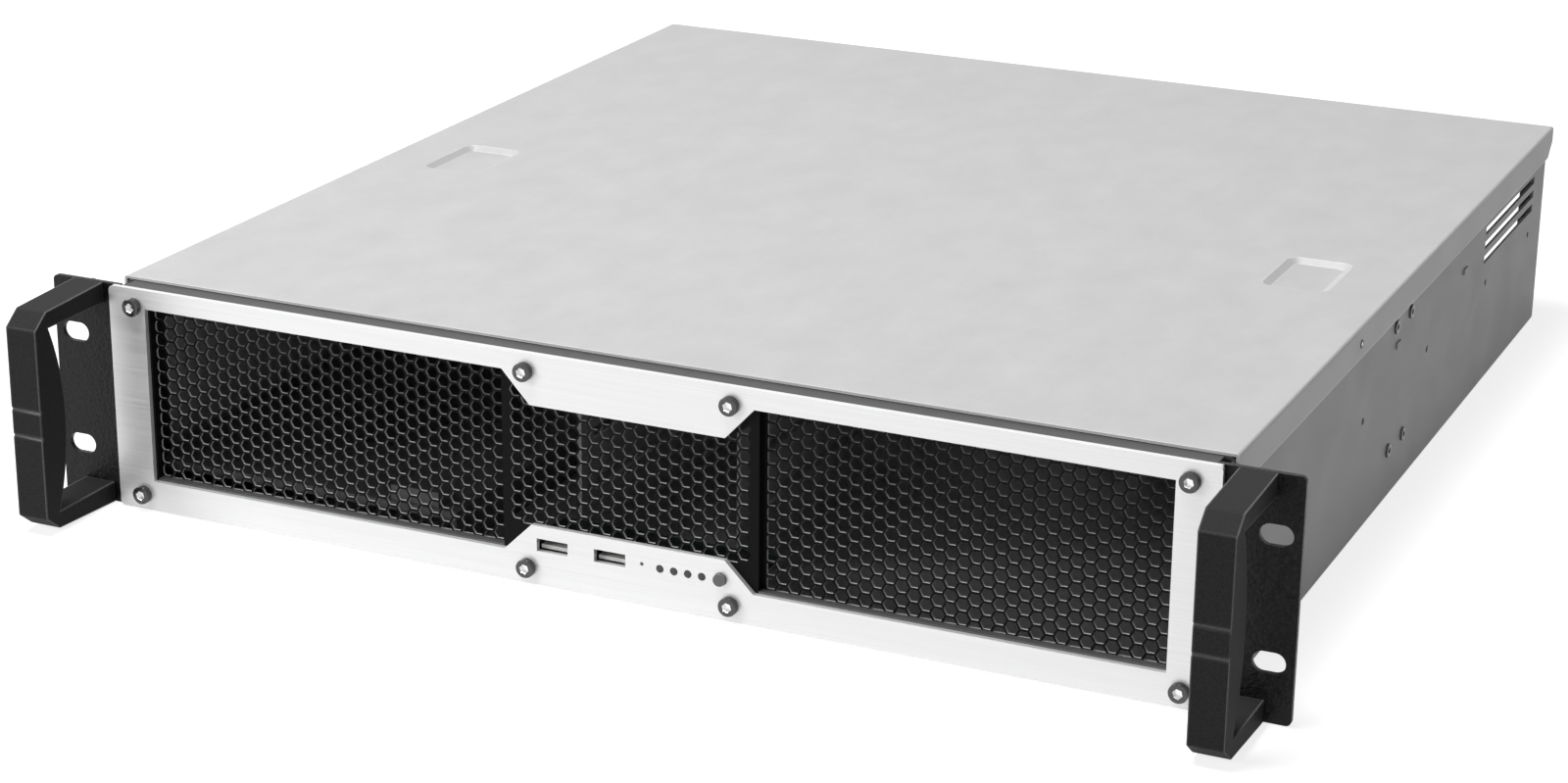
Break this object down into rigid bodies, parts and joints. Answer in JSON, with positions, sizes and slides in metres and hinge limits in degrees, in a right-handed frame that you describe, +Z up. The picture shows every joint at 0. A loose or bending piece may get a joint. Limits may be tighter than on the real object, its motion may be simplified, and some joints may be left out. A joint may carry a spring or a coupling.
{
  "type": "empty rackmount server case",
  "caption": "Empty low rackmount case with a silver front plate over black honeycomb mesh, slotted black ears, bow handles and a cover that slides back.",
  "frame": {"origin": "middle of the bottom of the whole case's bounding box", "axes": "+X to the right seen from the front, +Y to the rear, +Z up; the front plate faces -Y"},
  "size_m": [0.4826, 0.5098, 0.0874],
  "materials": {
    "zinc_steel": "satin zinc-coated steel sheet",
    "cover_steel": "satin zinc-coated steel sheet, faintly mottled",
    "plate_aluminium": "fine brushed, clear anodised",
    "black_sheet": "black powder coat, semi matt",
    "black_ear": "black powder coat with a fine grain",
    "black_handle": "black anodised, fine grain",
    "dark_screw": "dark zinc plated",
    "bright_screw": "bright zinc plated",
    "board": "circuit board",
    "socket_metal": "tin plated",
    "lamp": "clear lens",
    "button_plastic": "smooth",
    "switch_plastic": "moulded"
  },
  "bodies": {
    "case": {"chassis_base": "zinc_steel", "rear_panel": "zinc_steel", "front_plate": "plate_aluminium", "mesh_panel": "black_sheet", "bezel_screws": "dark_screw", "ear_bracket_left": "black_ear", "ear_bracket_right": "black_ear", "handle_left": "black_handle", "handle_right": "black_handle", "handle_screws": "dark_screw", "ear_screws": "dark_screw", "front_board": "board", "board_posts": "bright_screw", "usb_port_left": "socket_metal", "usb_port_right": "socket_metal", "status_lamps": "lamp", "power_switch": "switch_plastic", "reset_switch": "switch_plastic", "drive_tray": "zinc_steel", "drive_stop": "zinc_steel", "divider_left": "zinc_steel", "divider_right": "zinc_steel", "psu_bracket": "zinc_steel", "brace_screws": "bright_screw", "card_screws": "bright_screw", "board_standoffs": "bright_screw", "card_cover_1": "zinc_steel", "card_cover_2": "zinc_steel", "card_cover_3": "zinc_steel", "card_cover_4": "zinc_steel", "card_cover_5": "zinc_steel", "card_cover_6": "zinc_steel", "card_cover_7": "zinc_steel"},
    "cover": {"top_cover": "cover_steel", "cover_screws": "dark_screw"},
    "power_key": {"power_button": "button_plastic"},
    "reset_key": {"reset_button": "switch_plastic"}
  },
  "joints": [
    {"name": "cover_slide", "type": "slide", "parent": "case", "child": "cover", "axis": [0, 1, 0], "range_m": [0, 0.018]},
    {"name": "power_press", "type": "slide", "parent": "case", "child": "power_key", "axis": [0, 1, 0], "range_m": [0, 0.0012], "stiffness_N_per_m": 400},
    {"name": "reset_press", "type": "slide", "parent": "case", "child": "reset_key", "axis": [0, 1, 0], "range_m": [0, 0.0006], "stiffness_N_per_m": 500}
  ]
}
